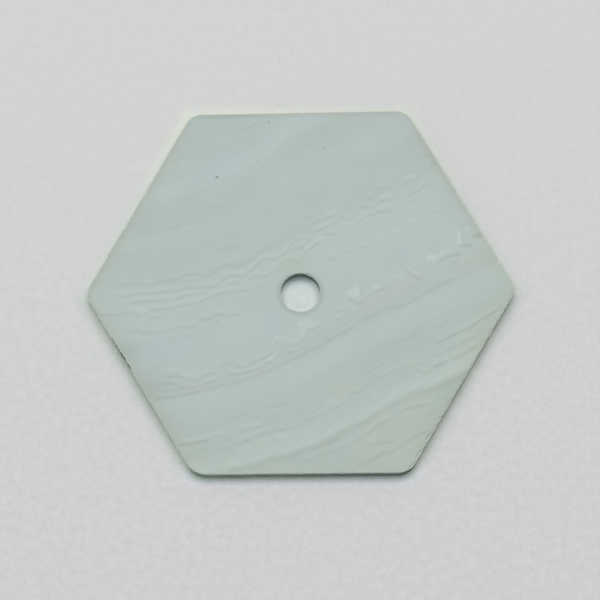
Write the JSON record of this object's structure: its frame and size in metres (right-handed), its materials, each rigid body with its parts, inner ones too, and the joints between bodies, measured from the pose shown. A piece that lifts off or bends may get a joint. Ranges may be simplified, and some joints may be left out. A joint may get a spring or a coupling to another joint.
{
  "type": "drilled agate plate",
  "caption": "Thin hexagonal plate of blue lace agate, polished flat, with rounded corners and a small round hole drilled through its middle.",
  "frame": {"origin": "on the axis of the hole, in the plane of the underside that the plate rests on", "axes": "+Z is the hole's axis and leaves the polished face, +X runs to a rounded corner, +Y crosses the middle of a flat side"},
  "size_m": [0.0228, 0.02, 0.0008],
  "materials": {
    "agate": "polished"
  },
  "bodies": {
    "root": {"agate_plate": "agate"}
  },
  "joints": []
}
